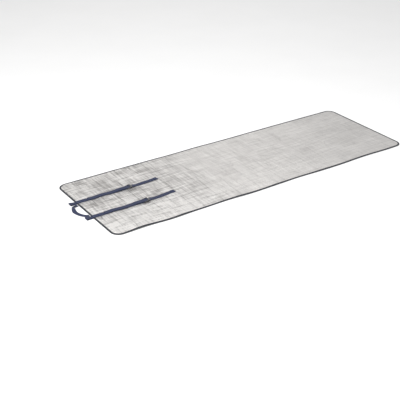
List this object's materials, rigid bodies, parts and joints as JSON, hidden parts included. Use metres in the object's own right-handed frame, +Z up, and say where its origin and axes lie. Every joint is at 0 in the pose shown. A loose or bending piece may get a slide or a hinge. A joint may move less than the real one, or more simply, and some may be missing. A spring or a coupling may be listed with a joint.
{
  "type": "foam sleeping pad",
  "caption": "Thin foil-faced foam sleeping pad with a bound edge, two lashing straps with ladder-lock buckles, edge loops and a carry handle; rolls up.",
  "frame": {"origin": "centre of the object's box at ground level, 27.5 mm towards the handle from the middle of the mat", "axes": "+X along the mat from the strap end to the far end, +Y across it to the left, +Z up from the ground"},
  "size_m": [1.855, 0.6, 0.0122],
  "materials": {
    "foam": "matte",
    "foil": "satin",
    "base_film": "satin",
    "binding": "matte",
    "webbing": "matte",
    "buckle": "satin"
  },
  "bodies": {
    "flap": {"foam_core": "foam", "foil_face": "foil", "base_film": "base_film", "edge_binding": "binding", "edge_loop_left": "webbing", "edge_loop_right": "webbing"},
    "section_01": {"mat_section_01": "foil"},
    "section_02": {"mat_section_02": "foil"},
    "section_03": {"mat_section_03": "foil"},
    "section_04": {"mat_section_04": "foil"},
    "section_05": {"mat_section_05": "foil"},
    "section_06": {"mat_section_06": "foil"},
    "section_07": {"mat_section_07": "foil"},
    "section_08": {"mat_section_08": "foil"},
    "section_09": {"mat_section_09": "foil"},
    "section_10": {"mat_section_10": "foil"},
    "section_11": {"mat_section_11": "foil"},
    "section_12": {"mat_section_12": "foil"},
    "section_13": {"mat_section_13": "foil"},
    "section_14": {"mat_section_14": "foil"},
    "section_15": {"mat_section_15": "foil"},
    "section_16": {"mat_section_16": "foil"},
    "section_17": {"mat_section_17": "foil"},
    "section_18": {"mat_section_18": "foil"},
    "section_19": {"mat_section_19": "foil"},
    "section_20": {"mat_section_20": "foil"},
    "section_21": {"mat_section_21": "foil"},
    "section_22": {"mat_section_22": "foil"},
    "section_23": {"mat_section_23": "foil"},
    "section_24": {"mat_section_24": "foil"},
    "section_25": {"mat_section_25": "foil"},
    "section_26": {"mat_section_26": "foil"},
    "section_27": {"mat_section_27": "foil"},
    "section_28": {"mat_section_28": "foil"},
    "section_29": {"mat_section_29": "foil"},
    "section_30": {"mat_section_30": "foil"},
    "section_31": {"mat_section_31": "foil"},
    "section_32": {"mat_section_32": "foil"},
    "section_33": {"mat_section_33": "foil"},
    "section_34": {"mat_section_34": "foil"},
    "section_35": {"mat_section_35": "foil"},
    "section_36": {"mat_section_36": "foil"},
    "section_37": {"mat_section_37": "foil"},
    "section_38": {"mat_section_38": "foil"},
    "section_39": {"mat_section_39": "foil"},
    "section_40": {"mat_section_40": "foil"},
    "strap_foot_left": {"strap_root_left": "webbing"},
    "strap_left": {"strap_web_left": "webbing", "buckle_left": "buckle"},
    "tail_left": {"strap_tail_left": "webbing"},
    "strap_foot_right": {"strap_root_right": "webbing"},
    "strap_right": {"strap_web_right": "webbing", "buckle_right": "buckle"},
    "tail_right": {"strap_tail_right": "webbing"},
    "handle": {"carry_handle": "webbing"}
  },
  "joints": [
    {"name": "strap_flip_left", "type": "hinge", "parent": "flap", "child": "strap_foot_left", "pos_m": [-0.874, 0.084, 0.00443], "axis": [0, -1, 0], "range_deg": [0, 168]},
    {"name": "strap_bend_left", "type": "hinge", "parent": "strap_foot_left", "child": "strap_left", "pos_m": [-0.8125, 0.084, 0.00565], "axis": [0, -1, 0], "range_deg": [0, 13.9]},
    {"name": "tail_pull_left", "type": "slide", "parent": "strap_left", "child": "tail_left", "axis": [1, 0, 0], "range_m": [0, 0.04]},
    {"name": "strap_flip_right", "type": "hinge", "parent": "flap", "child": "strap_foot_right", "pos_m": [-0.874, -0.084, 0.00443], "axis": [0, -1, 0], "range_deg": [0, 168]},
    {"name": "strap_bend_right", "type": "hinge", "parent": "strap_foot_right", "child": "strap_right", "pos_m": [-0.8125, -0.084, 0.00565], "axis": [0, -1, 0], "range_deg": [0, 13.9]},
    {"name": "tail_pull_right", "type": "slide", "parent": "strap_right", "child": "tail_right", "axis": [1, 0, 0], "range_m": [0, 0.04]},
    {"name": "handle_lift", "type": "hinge", "parent": "flap", "child": "handle", "pos_m": [-0.8745, 0, 0.00095], "axis": [0, 1, 0], "range_deg": [0, 95]},
    {"name": "roll_01", "type": "hinge", "parent": "flap", "child": "section_01", "pos_m": [-0.2925, 0, 0.003], "axis": [0, -1, 0], "range_deg": [0, 45]},
    {"name": "roll_02", "type": "hinge", "parent": "section_01", "child": "section_02", "pos_m": [-0.24888, 0, 0.003], "axis": [0, -1, 0], "range_deg": [0, 45]},
    {"name": "roll_03", "type": "hinge", "parent": "section_02", "child": "section_03", "pos_m": [-0.20592, 0, 0.003], "axis": [0, -1, 0], "range_deg": [0, 45]},
    {"name": "roll_04", "type": "hinge", "parent": "section_03", "child": "section_04", "pos_m": [-0.16364, 0, 0.003], "axis": [0, -1, 0], "range_deg": [0, 45]},
    {"name": "roll_05", "type": "hinge", "parent": "section_04", "child": "section_05", "pos_m": [-0.12204, 0, 0.003], "axis": [0, -1, 0], "range_deg": [0, 45]},
    {"name": "roll_06", "type": "hinge", "parent": "section_05", "child": "section_06", "pos_m": [-0.0811, 0, 0.003], "axis": [0, -1, 0], "range_deg": [0, 45]},
    {"name": "roll_07", "type": "hinge", "parent": "section_06", "child": "section_07", "pos_m": [-0.04084, 0, 0.003], "axis": [0, -1, 0], "range_deg": [0, 45]},
    {"name": "roll_08", "type": "hinge", "parent": "section_07", "child": "section_08", "pos_m": [-0.00126, 0, 0.003], "axis": [0, -1, 0], "range_deg": [0, 45]},
    {"name": "roll_09", "type": "hinge", "parent": "section_08", "child": "section_09", "pos_m": [0.03766, 0, 0.003], "axis": [0, -1, 0], "range_deg": [0, 45]},
    {"name": "roll_10", "type": "hinge", "parent": "section_09", "child": "section_10", "pos_m": [0.0759, 0, 0.003], "axis": [0, -1, 0], "range_deg": [0, 45]},
    {"name": "roll_11", "type": "hinge", "parent": "section_10", "child": "section_11", "pos_m": [0.11346, 0, 0.003], "axis": [0, -1, 0], "range_deg": [0, 45]},
    {"name": "roll_12", "type": "hinge", "parent": "section_11", "child": "section_12", "pos_m": [0.15036, 0, 0.003], "axis": [0, -1, 0], "range_deg": [0, 45]},
    {"name": "roll_13", "type": "hinge", "parent": "section_12", "child": "section_13", "pos_m": [0.18658, 0, 0.003], "axis": [0, -1, 0], "range_deg": [0, 45]},
    {"name": "roll_14", "type": "hinge", "parent": "section_13", "child": "section_14", "pos_m": [0.22213, 0, 0.003], "axis": [0, -1, 0], "range_deg": [0, 45]},
    {"name": "roll_15", "type": "hinge", "parent": "section_14", "child": "section_15", "pos_m": [0.257, 0, 0.003], "axis": [0, -1, 0], "range_deg": [0, 45]},
    {"name": "roll_16", "type": "hinge", "parent": "section_15", "child": "section_16", "pos_m": [0.29121, 0, 0.003], "axis": [0, -1, 0], "range_deg": [0, 45]},
    {"name": "roll_17", "type": "hinge", "parent": "section_16", "child": "section_17", "pos_m": [0.32473, 0, 0.003], "axis": [0, -1, 0], "range_deg": [0, 45]},
    {"name": "roll_18", "type": "hinge", "parent": "section_17", "child": "section_18", "pos_m": [0.35759, 0, 0.003], "axis": [0, -1, 0], "range_deg": [0, 45]},
    {"name": "roll_19", "type": "hinge", "parent": "section_18", "child": "section_19", "pos_m": [0.38977, 0, 0.003], "axis": [0, -1, 0], "range_deg": [0, 45]},
    {"name": "roll_20", "type": "hinge", "parent": "section_19", "child": "section_20", "pos_m": [0.42128, 0, 0.003], "axis": [0, -1, 0], "range_deg": [0, 45]},
    {"name": "roll_21", "type": "hinge", "parent": "section_20", "child": "section_21", "pos_m": [0.45212, 0, 0.003], "axis": [0, -1, 0], "range_deg": [0, 45]},
    {"name": "roll_22", "type": "hinge", "parent": "section_21", "child": "section_22", "pos_m": [0.48228, 0, 0.003], "axis": [0, -1, 0], "range_deg": [0, 45]},
    {"name": "roll_23", "type": "hinge", "parent": "section_22", "child": "section_23", "pos_m": [0.51177, 0, 0.003], "axis": [0, -1, 0], "range_deg": [0, 45]},
    {"name": "roll_24", "type": "hinge", "parent": "section_23", "child": "section_24", "pos_m": [0.54059, 0, 0.003], "axis": [0, -1, 0], "range_deg": [0, 45]},
    {"name": "roll_25", "type": "hinge", "parent": "section_24", "child": "section_25", "pos_m": [0.56873, 0, 0.003], "axis": [0, -1, 0], "range_deg": [0, 45]},
    {"name": "roll_26", "type": "hinge", "parent": "section_25", "child": "section_26", "pos_m": [0.59621, 0, 0.003], "axis": [0, -1, 0], "range_deg": [0, 45]},
    {"name": "roll_27", "type": "hinge", "parent": "section_26", "child": "section_27", "pos_m": [0.623, 0, 0.003], "axis": [0, -1, 0], "range_deg": [0, 45]},
    {"name": "roll_28", "type": "hinge", "parent": "section_27", "child": "section_28", "pos_m": [0.64913, 0, 0.003], "axis": [0, -1, 0], "range_deg": [0, 45]},
    {"name": "roll_29", "type": "hinge", "parent": "section_28", "child": "section_29", "pos_m": [0.67458, 0, 0.003], "axis": [0, -1, 0], "range_deg": [0, 45]},
    {"name": "roll_30", "type": "hinge", "parent": "section_29", "child": "section_30", "pos_m": [0.69936, 0, 0.003], "axis": [0, -1, 0], "range_deg": [0, 45]},
    {"name": "roll_31", "type": "hinge", "parent": "section_30", "child": "section_31", "pos_m": [0.72347, 0, 0.003], "axis": [0, -1, 0], "range_deg": [0, 45]},
    {"name": "roll_32", "type": "hinge", "parent": "section_31", "child": "section_32", "pos_m": [0.7469, 0, 0.003], "axis": [0, -1, 0], "range_deg": [0, 45]},
    {"name": "roll_33", "type": "hinge", "parent": "section_32", "child": "section_33", "pos_m": [0.76966, 0, 0.003], "axis": [0, -1, 0], "range_deg": [0, 45]},
    {"name": "roll_34", "type": "hinge", "parent": "section_33", "child": "section_34", "pos_m": [0.79174, 0, 0.003], "axis": [0, -1, 0], "range_deg": [0, 45]},
    {"name": "roll_35", "type": "hinge", "parent": "section_34", "child": "section_35", "pos_m": [0.81316, 0, 0.003], "axis": [0, -1, 0], "range_deg": [0, 45]},
    {"name": "roll_36", "type": "hinge", "parent": "section_35", "child": "section_36", "pos_m": [0.8339, 0, 0.003], "axis": [0, -1, 0], "range_deg": [0, 45]},
    {"name": "roll_37", "type": "hinge", "parent": "section_36", "child": "section_37", "pos_m": [0.85396, 0, 0.003], "axis": [0, -1, 0], "range_deg": [0, 45]},
    {"name": "roll_38", "type": "hinge", "parent": "section_37", "child": "section_38", "pos_m": [0.87336, 0, 0.003], "axis": [0, -1, 0], "range_deg": [0, 45]},
    {"name": "roll_39", "type": "hinge", "parent": "section_38", "child": "section_39", "pos_m": [0.89208, 0, 0.003], "axis": [0, -1, 0], "range_deg": [0, 45]},
    {"name": "roll_40", "type": "hinge", "parent": "section_39", "child": "section_40", "pos_m": [0.91012, 0, 0.003], "axis": [0, -1, 0], "range_deg": [0, 45]}
  ],
  "couplings": [
    {"joint": "strap_bend_left", "follows": "strap_flip_left", "ratio": 0.082738},
    {"joint": "strap_bend_right", "follows": "strap_flip_right", "ratio": 0.082738}
  ]
}
